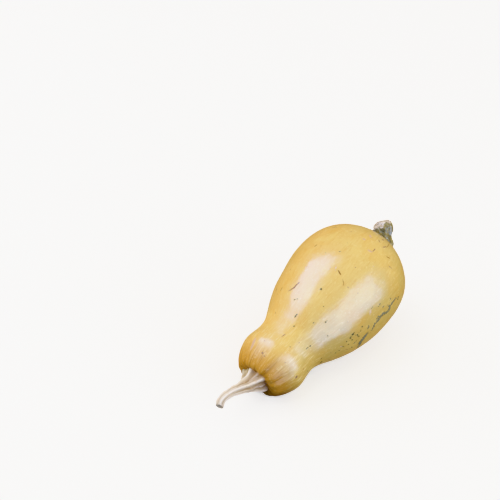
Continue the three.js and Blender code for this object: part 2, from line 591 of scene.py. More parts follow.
    @staticmethod
    def marks(tree: Tree, place: Socket) -> tuple[Socket, Socket]:
        """Masks of the scars, scabs and specks, with ragged edges.

        The mesh holds the step from the nearest mark's middle line, whose length is exact between
        vertices, and the plain distance, which keeps far vertices from cancelling to a false zero.
        A noise shifts the edge by a fraction of a millimetre each way, more on raised marks.

        Args:
            tree: the material's tree.
            place: the Object coordinates.

        Returns:
            The mask of whole marks and the mask of their middles.
        """
        step = put(tree, "VectorMath", {0: stored(tree, "mark_step", "Vector")}, operation="LENGTH")
        facts = put(tree, "SeparateXYZ", {0: stored(tree, "mark_facts", "Vector")}).outputs
        distance, half_width, height = facts[0], facts[1], facts[2]
        false_zero, grain_size, flat_stray, stray_per_height = 1.3, 1.3 * MM, 1.9, 16.0
        floor = folded(tree, "SUBTRACT", distance, false_zero)
        near = folded(tree, "MAXIMUM", step.outputs["Value"], floor)
        grain = {"Vector": place, "Scale": 1 / grain_size, "Detail": 2.0}
        ragged = folded(tree, "SUBTRACT", put(tree, "TexNoise", grain).outputs[0], 0.5)
        parts = {0: height, 1: stray_per_height, 2: flat_stray}
        broken = put(tree, "Math", parts, operation="MULTIPLY_ADD").outputs[0]
        strayed = put(tree, "Math", {0: ragged, 1: broken, 2: near}, operation="MULTIPLY_ADD").outputs[0]
        over = folded(tree, "SUBTRACT", strayed, half_width)
        return within(tree, over, 0.2, -0.25), within(tree, over, -0.3, -0.7)


@dataclass(frozen=True)
class DryStalk(Finish):
    """A cut stalk, dried to cork: matt, with a painted highlight along its ribs and a painted tan shade
    in its grooves.
    """

    name: ClassVar[str] = "dry_stalk"

    def inputs(self, tree: Tree, place: Socket) -> dict[str, object]:
        """What feeds the stalk's shader."""
        fibre = stored(tree, "fibre", "Vector")
        fine = Fleck(0.9, 0.4, 0.72, stretch=14, detail=3).mask(tree, fibre)
        wide = Fleck(2.6, 0.45, 0.7, stretch=9, detail=2, shift=2.7).mask(tree, fibre)
        crumbs = Fleck(0.8, 0.3, 0.7, shift=3).mask(tree, place)
        coats = [
            Coat(wide, "#cfba94", 0.4),
            Coat(fine, "#b59a70", 0.3),
            Coat(stored(tree, "bleach"), "#ece7e2", 0.6),
            # Painted shade in the grooves of the flare and the shank.
            Coat(stored(tree, "groove_shade"), "#a98a58", 0.85),
            # Painted highlight along the flare's corners and the shank's ribs.
            Coat(stored(tree, "ridge_highlight"), "#f7f2f0", 0.75),
            # Painted shade on the lower side of the flare, next to the fruit.
            Coat(stored(tree, "rim"), "#9a7446", 0.65),
            Coat(stored(tree, "green"), "#aeb080", 0.5),
            Coat(Fleck(5, 0.55, 0.7, shift=6.1).mask(tree, place), "#d8c5ae", 0.5),
            Coat(Fleck(1.6, 0.68, 0.75, shift=1.4).mask(tree, place), "#8d6a45", 0.5),
            Coat(stored(tree, "cut"), "#5c5334", 0.85),
        ]
        return {
            "Base Color": laid(tree, "#d8ccb6", coats),
            "Roughness": 0.66,
            "IOR": 1.45,
            "Specular IOR Level": 0.4,
            "Normal": relief(tree, (fine, -0.09), (wide, -0.08), (crumbs, 0.04)),
        }


@dataclass(frozen=True)
class GreenWood(Finish):
    """The woody knob where the blossom sat: dull olive, flecked with ochre, capped with pale cork."""

    name: ClassVar[str] = "green_wood_knob"

    def inputs(self, tree: Tree, place: Socket) -> dict[str, object]:
        """What feeds the knob's shader."""
        fibre = stored(tree, "fibre", "Vector")
        cap = stored(tree, "cap")
        grain = Fleck(1.5, 0.5, 0.62, stretch=2.2, detail=3, shift=1.2).mask(tree, fibre)
        dark = Fleck(1.3, 0.56, 0.66, detail=2, shift=4.1).mask(tree, place)
        cork = Fleck(2.6, 0.46, 0.6, detail=3, shift=2.2).mask(tree, place)
        coats = [
            Coat(Fleck(4, 0.4, 0.7, stretch=2).mask(tree, fibre), "#8d875e", 0.7),
            Coat(grain, "#b8a862", 0.55),
            Coat(Fleck(0.8, 0.6, 0.7, shift=9.4).mask(tree, place), "#b98f3e", 0.6),
            Coat(dark, "#4b4a36", 0.45),
            # Painted shade in the furrows between the knob's ribs.
            Coat(stored(tree, "groove_shade"), "#4a492f", 0.5),
            Coat(cap, "#bfae97", 0.9),
            Coat((cap, cork), "#e6dcd2", 0.7),
            Coat((cap, dark), "#5e5444", 0.85),
        ]
        rough = {"Value": cap, "To Min": 0.34, "To Max": 0.6}
        return {
            "Base Color": laid(tree, "#827c5b", coats),
            "Roughness": put(tree, "MapRange", rough).outputs[0],
            "IOR": 1.5,
            "Coat Weight": 0.3,
            "Coat Roughness": 0.15,
            "Normal": relief(tree, (grain, 0.06), (dark, -0.06), (cork, 0.06)),
        }


@dataclass(frozen=True)
class WhiteBoard(Finish):
    """The studio's floor: a matt, nearly white board that glows a little, so its shadows stay pale."""

    name: ClassVar[str] = "matt_white_board"

    def inputs(self, tree: Tree, place: Socket) -> dict[str, object]:
        """What feeds the floor's shader."""
        tooth = Fleck(60, 0.3, 0.7).mask(tree, place)
        return {
            "Base Color": laid(tree, "#fcfcfc", [Coat(tooth, "#f9f9f9", 0.5)]),
            "Roughness": 0.9,
            "Specular IOR Level": 0.1,
            "Emission Color": linear("#ffffff"),
            "Emission Strength": 0.38,
        }


# ---- Marks on the rind ----


@dataclass(frozen=True)
class MarkLook:
    """What a kind of mark is like: its rim and middle colours, and how far it stands proud."""

    edge: str
    core: str
    height: float


class MarkKind(Enum):
    """The marks that a squash gathers as it grows on the ground."""

    CORK = MarkLook("#4d5130", "#83856f", 0.2 * MM)
    GREEN = MarkLook("#62643a", "#4a4e2e", 0.05 * MM)
    BRUISE = MarkLook("#a3825e", "#94765c", 0.0)
    SCAB = MarkLook("#cdb295", "#d6c2ae", 0.12 * MM)
    SCRATCH = MarkLook("#9a7434", "#86602f", -0.06 * MM)
    BLOOM = MarkLook("#d0b08c", "#c8a98c", 0.0)


@dataclass(frozen=True)
class Mark:
    """One mark: a line on the rind, with a width.

    Attributes:
        kind: what it is.
        width: how wide it is at its middle, in millimetres.
        route: its points, each as millimetres along the fruit's axis and a turn in degrees.
    """

    kind: MarkKind
    width: float
    route: tuple[Span, ...]


def marks_of(kind: MarkKind, *rows: tuple[float | Span, ...]) -> list[Mark]:
    """Marks of one kind, each from its width and the points of its route."""
    return [Mark(kind, width, tuple(route)) for width, *route in rows]


MARKS = (
    *marks_of(
        MarkKind.CORK,
        (2.9, (142, 173), (132, 175), (129, 179), (121, 175), (114, 178), (110, 178), (105, 184)),
        (4.2, (100, 182), (95, 186), (91, 190), (89, 201)),
        (1.5, (132, 175), (130, 171)),
        (1.4, (118, 177), (116, 173), (113, 174)),
        (1.3, (136, 167), (134, 168)),
        (1.5, (126, 166), (123, 168)),
        (1.7, (146, 176), (143, 179)),
        (1.2, (122, 161), (120, 162)),
        (1.6, (103, 174), (101, 177)),
        (1.3, (87, 183), (84, 185)),
    ),
    *marks_of(
        MarkKind.GREEN,
        (2.5, (85, 169)),
        (2.0, (89, 174)),
        (1.8, (96, 168)),
        (1.7, (82, 172)),
        (1.6, (83, 177)),
        (1.8, (90, 178)),
        (1.3, (78, 174)),
        (1.3, (74, 180)),
        (1.2, (70, 184)),
        (1.2, (66, 186)),
        (1.4, (82, 191)),
        (2.1, (54, 196), (52, 199)),
        (1.4, (61, 202)),
        (1.0, (114, 157), (112, 158)),
        (2.0, (90, 104), (89, 105)),
        (1.2, (93, 172)),
        (1.1, (87, 168)),
        (1.3, (79, 181)),
        (1.2, (66, 150)),
        (1.3, (49, 148)),
        (1.0, (51, 106)),
    ),
    *marks_of(
        MarkKind.SCAB,
        (2.2, (111, 158), (108, 162)),
    ),
    *marks_of(
        MarkKind.SCRATCH,
        (1.5, (113, 106), (111, 111)),
        (0.8, (109, 115), (107, 118), (105, 120)),
        (1.0, (77, 56), (73, 54)),
        (0.9, (32, 170), (30, 171)),
        (0.8, (167, 128), (172, 129), (178, 130)),
        (1.0, (158, 133), (160, 138)),
    ),
    *marks_of(
        MarkKind.BRUISE,
        (1.8, (85, 79), (82, 77), (79, 76), (74, 70)),
        (1.9, (13, 96)),
        (1.1, (12, 102)),
        (2.6, (22, 170), (20, 171)),
        (1.5, (168, 115), (166, 118)),
        (1.7, (172, 118), (175, 120)),
        (1.3, (163, 124), (168, 127)),
        (0.9, (43, 130)),
        (0.8, (64, 129)),
    ),
    *marks_of(
        MarkKind.BLOOM,
        (3.4, (22, 66), (17, 68), (11, 70)),
        (2.4, (166, 104), (163, 107)),
        (2.0, (178, 112), (175, 114)),
        (2.2, (156, 102), (157, 105)),
        (2.2, (149, 114), (150, 119)),
    ),
)


def chance_marks(seed: int, count: int, length: float) -> list[Mark]:
    """Small marks scattered over the whole fruit: dots, and short dashes along or across it.

    Args:
        seed: picks them.
        count: how many.
        length: the fruit's length in millimetres.

    Returns:
        The marks.
    """
    draw = np.random.default_rng(seed)
    kinds = (MarkKind.BRUISE, MarkKind.GREEN, MarkKind.SCRATCH, MarkKind.SCAB)
    marks = []
    for _ in range(count):
        kind = kinds[draw.choice(len(kinds), p=(0.42, 0.22, 0.26, 0.1))]
        along, turn = draw.uniform(0.1 * length, 0.95 * length), draw.uniform(0, 360)
        run, lean = draw.uniform(0, 4.5) * draw.integers(0, 2), draw.normal(0, 2.2)
        route = ((along, turn), (along + run, turn + lean)) if run else ((along, turn),)
        marks.append(Mark(kind, draw.uniform(0.55, 1.15), route))
    return marks


# ---- The pieces ----


@dataclass(frozen=True)
class Lie:
    """How the fruit's own axes (along, beside, above) stand in the frame."""

    tilt: float
    root: np.ndarray

    def place(self, points: np.ndarray) -> np.ndarray:
        """Turns points about the Y axis by the tilt and moves them to the root.

        Args:
            points: places in the fruit's own axes.

        Returns:
            The same places in the frame.
        """
        along, beside, above = np.moveaxis(np.asarray(points, float), -1, 0)
        c, s = math.cos(self.tilt), math.sin(self.tilt)
        turned = np.stack([along * c - above * s, beside, along * s + above * c], axis=-1)
        return turned + self.root


@dataclass(frozen=True)
class Swell:
    """A place where the fruit is thicker or thinner than its plain outline.

    Attributes:
        at: its place along the axis.
        wide: how far it spreads along the axis.
        tall: its height, or its depth where it is negative.
        turn: the side that it is on, in degrees, or None if it goes all round.
    """

    at: float
    wide: float
    tall: float
    turn: float | None = None

    def over(self, along: np.ndarray, turns: np.ndarray) -> np.ndarray:
        """A bell curve along the axis, times half of one plus the cosine from its side.

        Args:
            along: distances along the axis.
            turns: angles round it, in radians.

        Returns:
            How far out each spot moves.
        """
        bell = self.tall * np.exp(-(((along - self.at) / self.wide) ** 2))
        if self.turn is None:
            return bell + 0 * turns
        return bell * (0.5 + 0.5 * np.cos(turns - math.radians(self.turn)))


@dataclass
class Piece:
    """A piece of the squash: an outline turned round a middle line.

    Attributes:
        node: the CAD node that it stands for.
        name: its own name.
        slot: its slot. Not used.
        rows, columns: the size of its grid.
    """

    node: str
    name: str
    slot: str
    rows: int
    columns: int

    def finish(self) -> Finish:
        """What it is made of."""
        raise NotImplementedError

    def surface(self) -> tuple[np.ndarray, dict[str, np.ndarray]]:
        """The finished grid in the frame, and what the finish reads from it."""
        raise NotImplementedError

    @cached_property
    def turns(self) -> np.ndarray:
        """The angle of each column, in radians."""
        return np.linspace(0, 2 * math.pi, self.columns, endpoint=False)

    def build(self) -> None:
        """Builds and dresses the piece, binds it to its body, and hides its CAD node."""
        piece = Skin(self.name, *self.surface()).built()
        piece.data.materials.append(self.finish().made())
        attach(piece, ROOT_BODY)
        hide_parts(self.node)
        log.info("%s: %d faces", piece.name, len(piece.data.polygons))


@dataclass
class Fruit(Piece):
    """The fruit: a rounded neck that swells into a belly, flattened where it lies.

    Its surface is a B-spline outline turned round a slightly bowed axis, with pleats that radiate
    from the stem, soft lobes on the neck end, and an uneven swell all over.

    Attributes:
        length, belly, neck: its length, and its radius at its two thickest places.
        bow, bow_start: how far the blossom end strays sideways, and from which share of the length.
        seat_depth: how deep the dimple is that the stem stands in.
        flat_depth: how much of it the ground takes off.
        pleat_start, pleat_reach: where pleats start to fade, and where the first and last end.
        lobe_rise, lobe_fade: over which distances from the stem the lobes come and go.
        swells: the places where it strays from the plain outline.
        mark_reach: how far round a mark its distance is known.
        ripples: the unevenness all over.
    """

    length: float = 193 * MM
    belly: float = 55.6 * MM
    neck: float = 32.5 * MM
    bow: float = 2.1 * MM
    bow_start: float = 0.4
    seat_depth: float = 2.5 * MM
    flat_depth: float = 1.5 * MM
    pleat_count: int = 34
    pleat_seed: int = 11
    pleat_depth: float = 0.7 * MM
    pleat_width: float = 1.0 * MM
    pleat_start: float = 12 * MM
    pleat_reach: Span = (24 * MM, 50 * MM)
    lobe_count: int = 13
    lobe_height: float = 0.28 * MM
    lobe_rise: Span = (6 * MM, 16 * MM)
    lobe_fade: Span = (62 * MM, 20 * MM)
    swells: tuple[Swell, ...] = (
        Swell(22 * MM, 11 * MM, 0.8 * MM),
        Swell(46 * MM, 13 * MM, -1.3 * MM),
        Swell(24 * MM, 10 * MM, 0.5 * MM, 150),
        Swell(170 * MM, 26 * MM, 2.2 * MM, 205),
    )
    mark_reach: float = 6 * MM
    ripples: tuple[Ripple, ...] = (
        Ripple(62 * MM, 0.45 * MM, 3),
        Ripple(24 * MM, 0.1 * MM, 5),
        Ripple(8 * MM, 0.022 * MM, 8),
    )

    def finish(self) -> Finish:
        """Waxy rind."""
        return Rind(fibre_radius=self.neck)

    @cached_property
    def outline(self) -> np.ndarray:
        """The outline as distance along the axis and radius, evenly spaced.

        Returns:
            Rows of a distance along the axis and a radius.
        """
        controls = [
            (self.seat_depth, 0),
            (self.seat_depth, 0.33 * self.neck),
            (-0.007 * self.length, 0.54 * self.neck),
            (0.002 * self.length, 0.76 * self.neck),
            (0.12 * self.length, 1.07 * self.neck),
            (0.25 * self.length, 0.92 * self.neck),
            (0.39 * self.length, 0.823 * self.belly),
            (0.53 * self.length, 0.989 * self.belly),
            (0.69 * self.length, 1.017 * self.belly),
            (0.86 * self.length, 0.914 * self.belly),
            (0.98 * self.length, 0.39 * self.belly),
            (self.length, 0.17 * self.belly),
            (self.length, 0),
        ]
        return profile(controls, self.rows)

    @cached_property
    def tilt(self) -> float:
        """The rise of the axis at which neck and belly both touch the ground, found by halving.

        Returns:
            The rise in radians.
        """
        along, radius = self.outline.T
        neck = along < 0.45 * self.length
        low, high = 0.0, math.pi / 6
        halvings = 40
        for _ in range(halvings):
            middle = (low + high) / 2
            depth = along * math.sin(middle) - radius * math.cos(middle)
            if depth[neck].min() > depth[~neck].min():
                low = middle
            else:
                high = middle
        return low

    def swept(self, along: np.ndarray, radius: np.ndarray, turn: np.ndarray) -> np.ndarray:
        """Points in the fruit's axes: a circle's sine and cosine round the bowed middle line."""
        share = np.maximum(0, along / self.length - self.bow_start) / (1 - self.bow_start)
        beside = self.bow * share**2 + radius * np.cos(turn)
        return np.stack(np.broadcast_arrays(along, beside, radius * np.sin(turn)), axis=-1)

    @cached_property
    def lie(self) -> Lie:
        """Stands the plain fruit in the CAD node's box: its middle in X and Y, its ground at 0.

        Returns:
            The tilt, and where the axis starts.
        """
        plain = self.swept(*(axis[:, None] for axis in self.outline.T), self.turns)
        stood = Lie(self.tilt, np.zeros(3)).place(plain).reshape(-1, 3)
        low, high = (np.array(corner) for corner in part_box(self.node))
        root = (low + high) / 2 - (stood.min(axis=0) + stood.max(axis=0)) / 2
        root[2] = low[2] - stood[:, 2].min() - self.flat_depth
        return Lie(self.tilt, root)

    def pleats(self, arc: np.ndarray, radius: np.ndarray) -> np.ndarray:
        """How deep each spot lies in a pleat, from 0 to 1.

        Each pleat is a groove along the fruit with a bell-shaped section. It starts at the stem
        and fades out after a length of its own.

        Args:
            arc: each row's distance from the dimple over the skin.
            radius: each row's plain radius.

        Returns:
            Rows x columns depths.
        """
        draw = np.random.default_rng(self.pleat_seed)
        spread = 2 * math.pi / self.pleat_count
        depth = np.zeros((self.rows, self.columns))
        for i in range(self.pleat_count):
            middle = spread * (i + draw.uniform(-0.36, 0.36))
            reach, strength = draw.uniform(*self.pleat_reach), draw.uniform(0.35, 1)
            width = self.pleat_width * draw.uniform(0.7, 1.4)
            aside = (self.turns - middle + math.pi) % (2 * math.pi) - math.pi
            section = np.exp(-((aside * radius / width) ** 2))
            depth = np.maximum(depth, strength * section * smoothstep(reach, self.pleat_start, arc))
        return depth

    def normals(self) -> np.ndarray:
        """Unit vectors out of the plain surface: the outline's own normals, turned with it.

        Returns:
            Rows x columns x 3 directions in the frame.
        """
        slope = np.gradient(self.outline, axis=0)
        outward = unit(np.stack([-slope[:, 1], slope[:, 0]], axis=-1))
        turned = np.roll(rolled(outward[:, 1:], self.turns, outward[:, :1]), 1, axis=-1)
        return Lie(self.tilt, np.zeros(3)).place(turned)

    def surface(self) -> tuple[np.ndarray, dict[str, np.ndarray]]:
        """The finished grid in the frame, and what the rind reads from it.

        Lobes, pleats, swells, ripples and raised marks move it in or out. Nothing moves at its two
        poles, and nothing goes below the ground.

        Returns:
            The grid in the frame, and a grid of numbers or vectors for each stored name.
        """
        along, radius = (axis[:, None] for axis in self.outline.T)
        arc = travelled(self.outline)[:, None]
        plain = self.lie.place(self.swept(along, radius, self.turns))
        pleat = self.pleats(arc, radius)
        marks = self.marked(plain)
        gap, half_width, height = np.moveaxis(marks["mark_facts"], -1, 0)
        lobes = np.cos(self.lobe_count * self.turns + 1.2 * np.sin(2 * self.turns))
        fade = smoothstep(*self.lobe_fade, arc) * smoothstep(*self.lobe_rise, arc)
        lift = self.lobe_height * lobes * fade - self.pleat_depth * pleat
        lift = lift + sum(swell.over(along, self.turns) for swell in self.swells)
        lift = lift + sum(ripple.at(plain) for ripple in self.ripples)
        lift = lift + smoothstep(0.7, -0.7, gap - half_width) * height * MM
        lift = lift * smoothstep(0, 4 * MM, radius)
        grid = plain + self.normals() * lift[..., None]
        grid[..., 2] = np.maximum(grid[..., 2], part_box(self.node)[0].z)
        return grid, {**marks, "fibre": rolled(self.neck, self.turns, arc), "pleat": pleat}

    def traced(self, mark: Mark) -> np.ndarray:
        """A mark's route on the plain surface, in the frame. A dot's route stands still.

        Args:
            mark: the mark.

        Returns:
            The points of a polyline.
        """
        route = np.array(mark.route * 2 if len(mark.route) == 1 else mark.route, float)
        ways = np.linspace(0, len(route) - 1, 6 * len(route))
        along, turn = (np.interp(ways, np.arange(len(route)), axis) for axis in route.T)
        outer = np.argmin(self.outline[:, 0])
        reach = np.interp(along * MM, *self.outline[outer:].T)
        return self.lie.place(self.swept(along * MM, reach, np.radians(turn)))

    @staticmethod
    def nearest(line: np.ndarray, spots: np.ndarray) -> tuple[np.ndarray, np.ndarray, np.ndarray]:
        """Finds each spot's nearest point on a polyline.

        A spot's nearest point on a segment is its projection onto it, held between its ends.

        Args:
            line: the polyline's points.
            spots: the spots.

        Returns:
            The step in millimetres from the nearest point to the spot, its length, and how far
            along the polyline that point is, from 0 to 1.
        """
        start, run = line[:-1], np.diff(line, axis=0)
        span = np.maximum((run**2).sum(axis=1), 1e-12)
        offset = spots[:, None] - start
        share = np.clip((offset * run).sum(axis=2) / span, 0, 1)
        offset = (offset - share[..., None] * run) / MM
        gap = np.linalg.norm(offset, axis=2)
        pick = gap.argmin(axis=1)
        every = np.arange(len(spots))
        return offset[every, pick], gap[every, pick], (pick + share[every, pick]) / len(run)

    def marked(self, plain: np.ndarray) -> dict[str, np.ndarray]:
        """Finds each vertex's nearest mark. A mark's half width tapers to a third at its ends.

        Args:
            plain: the grid before any unevenness.

        Returns:
            The step from the mark in millimetres, the plain distance, half width and height, and
            the rim and middle colours.
        """
        spots = plain.reshape(-1, 3)
        far = self.mark_reach / MM
        step = np.full_like(spots, far)
        facts = np.tile([far, 0.0, 0.0], (len(spots), 1))
        edge = np.tile(linear(MarkKind.BRUISE.value.edge)[:3], (len(spots), 1))
        core = edge.copy()
        for mark in [*MARKS, *chance_marks(seed=29, count=100, length=self.length / MM)]:
            look = mark.kind.value
            line = self.traced(mark)
            lowest, highest = line.min(axis=0) - self.mark_reach, line.max(axis=0) + self.mark_reach
            close = np.flatnonzero(((spots > lowest) & (spots < highest)).all(axis=1))
            offset, gap, passed = self.nearest(line, spots[close])
            taper = 0 if len(mark.route) == 1 else 0.65
            half = mark.width / 2 * (1 - taper * np.abs(2 * passed - 1) ** 3)
            nearer = gap - half < facts[close, 0] - facts[close, 1]
            hit = close[nearer]
            step[hit] = offset[nearer]
            facts[hit, 0], facts[hit, 1], facts[hit, 2] = gap[nearer], half[nearer], look.height / MM
            edge[hit], core[hit] = linear(look.edge)[:3], linear(look.core)[:3]
        found = {"mark_step": step, "mark_facts": facts, "mark_edge": edge, "mark_core": core}
        return {name: grid.reshape(plain.shape) for name, grid in found.items()}


@dataclass
class Shoot(Piece):
    """A ribbed outgrowth, whose middle line bends.

    Attributes:
        ribs: how many large ribs it has.
        lie: how the fruit that it grows from lies.
    """

    ribs: int
    lie: Lie

    def path(self) -> np.ndarray:
        """The points that the middle line passes through, in the frame."""
        raise NotImplementedError

    @cached_property
    def line(self) -> np.ndarray:
        """The middle line, finely sampled."""
        return through(self.path(), 60)

    @cached_property
    def reach(self) -> float:
        """The middle line's length."""
        return float(travelled(self.line)[-1])

    def at(self, length: np.ndarray) -> np.ndarray:
        """The middle line's points at some distances along it."""
        passed = travelled(self.line)
        return np.stack([np.interp(length, passed, axis) for axis in self.line.T], axis=-1)

    def carried(self, height: np.ndarray, radius: np.ndarray) -> np.ndarray:
        """Carries sections along the middle line.

        A spot is the line's point at its height, plus its radius times the cosine and sine of its
        angle along two directions square to the line: the one nearest +Y, and the cross product.

        Args:
            height: each row's distance along the line.
            radius: rows x columns distances from it.

        Returns:
            The grid in the frame.
        """
        nudge = 0.5 * MM
        low = np.clip(height[:, 0] - nudge, 0, self.reach - 2 * nudge)
        ahead = unit(self.at(low + 2 * nudge) - self.at(low))
        first = unit(np.array([0.0, 1.0, 0.0]) - ahead[:, 1:2] * ahead)
        second = np.cross(ahead, first)
        centre = self.at(np.clip(height[:, 0], 0, self.reach))
        cosine, sine = np.cos(self.turns)[:, None], np.sin(self.turns)[:, None]
        round_it = cosine * first[:, None] + sine * second[:, None]
        return centre[:, None] + radius[..., None] * round_it


@dataclass
class Stem(Shoot):
    """The dry stalk: a five-cornered flare that narrows to a ribbed shank, bends and ends in a cut.

    Attributes:
        seat_depth: how deep the dimple is that it stands in.
        flare, shank, tip: its plain radius at the fruit, past the flare, and at the cut.
        root: how much of it is inside the fruit.
        flare_end: the heights at which corners turn into round ribs.
        twist: how far the ribs turn over twist_span.
        slant: the cut's slope, towards cut_side.
        fray: fine fibres on the surface.
        lumps: the coarser unevenness.
    """

    seat_depth: float = 2.5 * MM
    flare: float = 12.8 * MM
    shank: float = 5.6 * MM
    tip: float = 3.7 * MM
    root: float = 4 * MM
    flare_end: Span = (9 * MM, 21 * MM)
    twist: float = math.radians(24)
    twist_span: Span = (8 * MM, 44 * MM)
    slant: float = 0.5
    cut_side: float = math.radians(-112)
    fray: Ripple = Ripple(2.2 * MM, 0.1 * MM, 41)
    lumps: Ripple = Ripple(9 * MM, 0.3 * MM, 42)

    def finish(self) -> Finish:
        """Dried stalk."""
        return DryStalk()

    def path(self) -> np.ndarray:
        """Out of the dimple on the fruit's axis, up, and down at the tip.

        Returns:
            The points, in the frame.
        """
        along = [(4, 1, 1.2), (-3.5, 1, 1.2)]
        free = [(-12.5, 0.9, 0.6), (-22, 1, 2.5), (-36.5, 1.8, 6.1), (-47, 1.8, 6.6), (-52, 0.5, 1.6)]
        seat = np.array([self.seat_depth, 0, 0])
        inside = self.lie.place(seat + np.array(along) * MM)
        return np.vstack([inside, self.lie.place(seat) + np.array(free) * MM])

    @cached_property
    def outline(self) -> np.ndarray:
        """Distance along the middle line and plain radius, from the root to the bottom of the cut.

        Returns:
            Rows of a distance along the middle line and a radius.
        """
        rim = self.root + 2 * MM
        controls = [
            (0, 0),
            (0, 0.8 * self.flare),
            (self.root, self.flare),
            (rim, 1.03 * self.flare),
            (rim + 4 * MM, 0.84 * self.flare),
            (rim + 10 * MM, 0.6 * self.flare),
            (rim + 16 * MM, 1.1 * self.shank),
            (rim + 26 * MM, 0.87 * self.shank),
            (0.8 * self.reach, self.tip),
            (self.reach - 1 * MM, 1.04 * self.tip),
            (self.reach + 0.4 * MM, self.tip),
            (self.reach, 0.66 * self.tip),
            (self.reach - 2.2 * MM, 0.5 * self.tip),
            (self.reach - 2.4 * MM, 0),
        ]
        return profile(controls, self.rows)

    def surface(self) -> tuple[np.ndarray, dict[str, np.ndarray]]:
        """The finished grid in the frame, and what the finish reads from it.

        A rib's height is 1 - |sin| of the angle on the flare, which makes sharp corners with
        hollow faces between, and |cos| on the shank, which makes round ribs and narrow grooves.
        Both are taken from their means, so that ribs don't change the plain radius. Between each
        two ribs runs a small one.

        Returns:
            The grid in the frame, and a grid of numbers or vectors for each stored name.
        """
        height, plain = (axis[:, None] for axis in self.outline.T)
        shaft = smoothstep(*self.flare_end, height)
        turn = self.turns - self.twist * smoothstep(*self.twist_span, height)
        half = self.ribs / 2 * turn
        corner, round_rib = 1 - np.abs(np.sin(half)), np.abs(np.cos(half))
        small = 0.5 + 0.5 * np.cos(2 * self.ribs * turn + 0.9)
        mean = 0.637
        rib = (1 - shaft) * (corner - (1 - mean)) + shaft * 1.15 * (round_rib - mean)
        share = 0.25 + 0.15 * np.exp(-height / (14 * MM))
        share = share * smoothstep(self.reach + 3 * MM, self.reach - 5 * MM, height)
        minor = (0.15 - 0.05 * shaft) * (small - 0.5) * smoothstep(1 * MM, 9 * MM, height)
        radius = plain * (1 + share * rib + minor)
        fibre = rolled(8 * MM, turn, height)
        drawn_out = fibre * (1, 1, 0.12)
        lumps = self.lumps.at(self.carried(height, radius)) * smoothstep(0.5, 1, plain / self.shank)
        radius = radius + (self.fray.at(drawn_out) + lumps) * smoothstep(0, 2 * MM, plain)
        ribbing = self.ribbing(shaft, corner, round_rib, small)
        return self.cut(height, radius), {"fibre": fibre, **self.tints(height, plain), **ribbing}

    def cut(self, height: np.ndarray, radius: np.ndarray) -> np.ndarray:
        """Carries the sections along the line and shears the last of them into a slanting cut.

        Args:
            height: each row's distance along the middle line.
            radius: rows x columns distances from it.

        Returns:
            The grid in the frame.
        """
        ahead = unit(self.line[-1] - self.line[-20])
        aslant = self.slant * radius * np.cos(self.turns - self.cut_side)
        aslant = aslant * smoothstep(self.reach - 5 * MM, self.reach - 1 * MM, height)
        return self.carried(height, radius) - aslant[..., None] * ahead

    def tints(self, height: np.ndarray, plain: np.ndarray) -> dict[str, np.ndarray]:
        """Where the stalk is bleached, darkened by a painted shade on the lower side of its rim, still
        green, or cut.

        Args:
            height: each row's distance along the middle line.
            plain: each row's plain radius.

        Returns:
            A share from 0 to 1 at each spot, for each of the four.
        """
        every = np.ones((self.rows, self.columns))
        hollow = smoothstep(0.66 * self.tip, 0.3 * self.tip, plain)
        edge = 0.3 * smoothstep(self.reach - 1.2 * MM, self.reach, height)
        low, bottom = smoothstep(11 * MM, 5 * MM, height), 0.5 - 0.5 * np.cos(self.turns + 0.3)
        return {
            "bleach": smoothstep(20 * MM, 40 * MM, height) * every,
            # Painted shade: brown on the lower side of the flare, next to the fruit.
            "rim": low * bottom,
            "green": smoothstep(16 * MM, 6 * MM, height) * smoothstep(0.3, 0.9, np.cos(self.turns + 0.2)),
            "cut": np.where(self.is_outer, edge, 0.2 + 0.8 * hollow) * every,
        }

    def ribbing(
        self, shaft: np.ndarray, corner: np.ndarray, round_rib: np.ndarray, small: np.ndarray
    ) -> dict[str, np.ndarray]:
        """How far each spot is in a groove, where the finish paints shade, and how far on a ridge, where
        it paints a highlight.

        Args:
            shaft: 0 on the flare and 1 on the shank.
            corner: how near a corner of the flare it is.
            round_rib: how near the top of a rib of the shank it is.
            small: how near the top of a small rib it is.

        Returns:
            The two shares. The cut has neither.
        """
        height = self.outline[:, :1]
        furrows = np.maximum(smoothstep(0.7, 0.2, round_rib), 0.6 * smoothstep(0.4, 0.05, small))
        valley = (1 - shaft) * smoothstep(0.9, 0.35, corner) + shaft * furrows
        crest = np.maximum(smoothstep(0.72, 0.95, corner), 0.6 * smoothstep(0.7, 1, small))
        ridge_highlight = (1 - shaft) * crest + 0.6 * shaft * smoothstep(0.88, 1, round_rib)
        # The painted shade in the grooves weakens towards the cut.
        groove_shade_weight = 1 - 0.35 * smoothstep(24 * MM, 46 * MM, height)
        return {"groove_shade": valley * self.is_outer * groove_shade_weight, "ridge_highlight": ridge_highlight * self.is_outer}

    @cached_property
    def is_outer(self) -> np.ndarray:
        """Which rows are on the stalk's side and not in its cut face."""
        return np.arange(self.rows)[:, None] < np.argmax(self.outline[:, 0])


